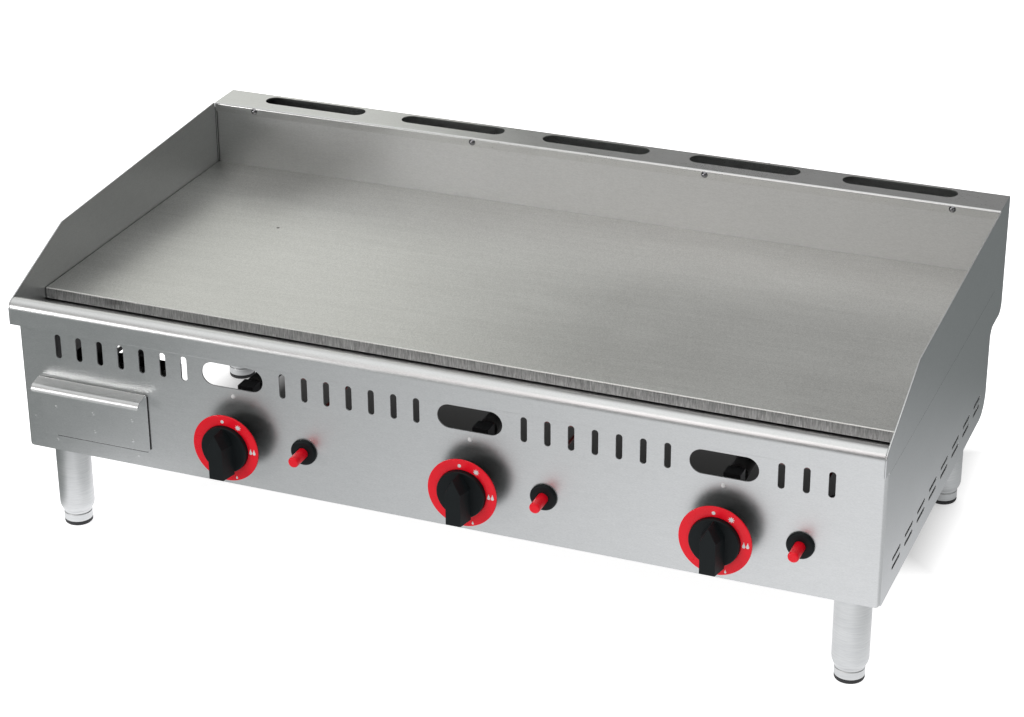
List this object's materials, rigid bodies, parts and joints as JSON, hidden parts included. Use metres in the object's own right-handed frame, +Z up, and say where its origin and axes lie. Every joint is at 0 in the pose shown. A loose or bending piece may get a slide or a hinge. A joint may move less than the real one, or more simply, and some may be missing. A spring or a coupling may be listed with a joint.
{
  "type": "flat top griddle",
  "caption": "Countertop gas griddle with a flat steel plate, side splash guards, rear flue, knobs with red rings, push igniters, short grease drawer and adjustable tube legs.",
  "frame": {"origin": "on the floor, in the middle of the overall width and depth", "axes": "+X to the user's right, +Y to the rear, +Z up"},
  "size_m": [0.917, 0.5326, 0.3296],
  "materials": {
    "body_steel": "fine brushed stainless sheet",
    "zinc_steel": "zinc coated sheet",
    "leg_steel": "turned and brushed tube",
    "griddle_steel": "ground cooking plate",
    "screw_steel": "plated",
    "pad_rubber": "matt",
    "knob_plastic": "satin moulded",
    "ring_red": "satin",
    "dot_white": "raised dot",
    "igniter_plastic": "satin moulded",
    "valve_brass": "forged and machined",
    "black_pipe": "black coated pipe",
    "burner_iron": "as cast",
    "ceramic": "glazed",
    "lead_rubber": "matt"
  },
  "bodies": {
    "chassis": {"front_panel": "body_steel", "left_side_panel": "body_steel", "right_side_panel": "body_steel", "flue_back": "body_steel", "backsplash": "body_steel", "flue_cap": "body_steel", "front_rail": "body_steel", "grease_trough": "body_steel", "left_splash_guard": "body_steel", "right_splash_guard": "body_steel", "rear_panel": "zinc_steel", "grease_chute": "zinc_steel", "plate_supports": "zinc_steel", "burner_rails": "zinc_steel", "leg_plates": "zinc_steel", "drawer_housing": "zinc_steel", "leg_front_left": "leg_steel", "leg_front_right": "leg_steel", "leg_rear_left": "leg_steel", "leg_rear_right": "leg_steel", "griddle_plate": "griddle_steel", "flue_screws": "screw_steel", "rear_screws": "screw_steel", "igniter_nuts": "screw_steel", "index_dots": "dot_white", "igniter_bodies": "igniter_plastic", "gas_valve_left": "valve_brass", "gas_valve_centre": "valve_brass", "gas_valve_right": "valve_brass", "gas_manifold": "black_pipe", "gas_inlet_pipe": "black_pipe", "inlet_flange": "black_pipe", "orifice_elbows": "black_pipe", "burner_left": "burner_iron", "burner_centre": "burner_iron", "burner_right": "burner_iron", "ignition_electrodes": "ceramic", "ignition_leads": "lead_rubber"},
    "spindle_body_left": {"spindle_left": "screw_steel"},
    "knob_body_left": {"knob_left": "knob_plastic", "knob_ring_left": "ring_red"},
    "igniter_push_left": {"igniter_button_left": "ring_red"},
    "spindle_body_centre": {"spindle_centre": "screw_steel"},
    "knob_body_centre": {"knob_centre": "knob_plastic", "knob_ring_centre": "ring_red"},
    "igniter_push_centre": {"igniter_button_centre": "ring_red"},
    "spindle_body_right": {"spindle_right": "screw_steel"},
    "knob_body_right": {"knob_right": "knob_plastic", "knob_ring_right": "ring_red"},
    "igniter_push_right": {"igniter_button_right": "ring_red"},
    "grease_drawer": {"drawer_pan": "body_steel", "drawer_front": "body_steel"},
    "foot_body_front_left": {"foot_front_left": "leg_steel", "pad_front_left": "pad_rubber"},
    "foot_body_front_right": {"foot_front_right": "leg_steel", "pad_front_right": "pad_rubber"},
    "foot_body_rear_left": {"foot_rear_left": "leg_steel", "pad_rear_left": "pad_rubber"},
    "foot_body_rear_right": {"foot_rear_right": "leg_steel", "pad_rear_right": "pad_rubber"}
  },
  "joints": [
    {"name": "knob_turn_left", "type": "hinge", "parent": "chassis", "child": "spindle_body_left", "pos_m": [-0.212, -0.22175, 0.1522], "axis": [0, -1, 0], "range_deg": [0, 180]},
    {"name": "knob_push_left", "type": "slide", "parent": "spindle_body_left", "child": "knob_body_left", "axis": [0, 1, 0], "range_m": [0, 0.0035], "stiffness_N_per_m": 800, "springref_m": -0.002},
    {"name": "igniter_press_left", "type": "slide", "parent": "chassis", "child": "igniter_push_left", "axis": [0, 1, 0], "range_m": [0, 0.009], "stiffness_N_per_m": 400, "springref_m": -0.003},
    {"name": "knob_turn_centre", "type": "hinge", "parent": "chassis", "child": "spindle_body_centre", "pos_m": [0.045, -0.22175, 0.1522], "axis": [0, -1, 0], "range_deg": [0, 180]},
    {"name": "knob_push_centre", "type": "slide", "parent": "spindle_body_centre", "child": "knob_body_centre", "axis": [0, 1, 0], "range_m": [0, 0.0035], "stiffness_N_per_m": 800, "springref_m": -0.002},
    {"name": "igniter_press_centre", "type": "slide", "parent": "chassis", "child": "igniter_push_centre", "axis": [0, 1, 0], "range_m": [0, 0.009], "stiffness_N_per_m": 400, "springref_m": -0.003},
    {"name": "knob_turn_right", "type": "hinge", "parent": "chassis", "child": "spindle_body_right", "pos_m": [0.302, -0.22175, 0.1522], "axis": [0, -1, 0], "range_deg": [0, 180]},
    {"name": "knob_push_right", "type": "slide", "parent": "spindle_body_right", "child": "knob_body_right", "axis": [0, 1, 0], "range_m": [0, 0.0035], "stiffness_N_per_m": 800, "springref_m": -0.002},
    {"name": "igniter_press_right", "type": "slide", "parent": "chassis", "child": "igniter_push_right", "axis": [0, 1, 0], "range_m": [0, 0.009], "stiffness_N_per_m": 400, "springref_m": -0.003},
    {"name": "drawer_pull", "type": "slide", "parent": "chassis", "child": "grease_drawer", "axis": [0, -1, 0], "range_m": [0, 0.06]},
    {"name": "foot_screw_front_left", "type": "slide", "parent": "chassis", "child": "foot_body_front_left", "axis": [0, 0, -1], "range_m": [0, 0.025]},
    {"name": "foot_screw_front_right", "type": "slide", "parent": "chassis", "child": "foot_body_front_right", "axis": [0, 0, -1], "range_m": [0, 0.025]},
    {"name": "foot_screw_rear_left", "type": "slide", "parent": "chassis", "child": "foot_body_rear_left", "axis": [0, 0, -1], "range_m": [0, 0.025]},
    {"name": "foot_screw_rear_right", "type": "slide", "parent": "chassis", "child": "foot_body_rear_right", "axis": [0, 0, -1], "range_m": [0, 0.025]}
  ]
}
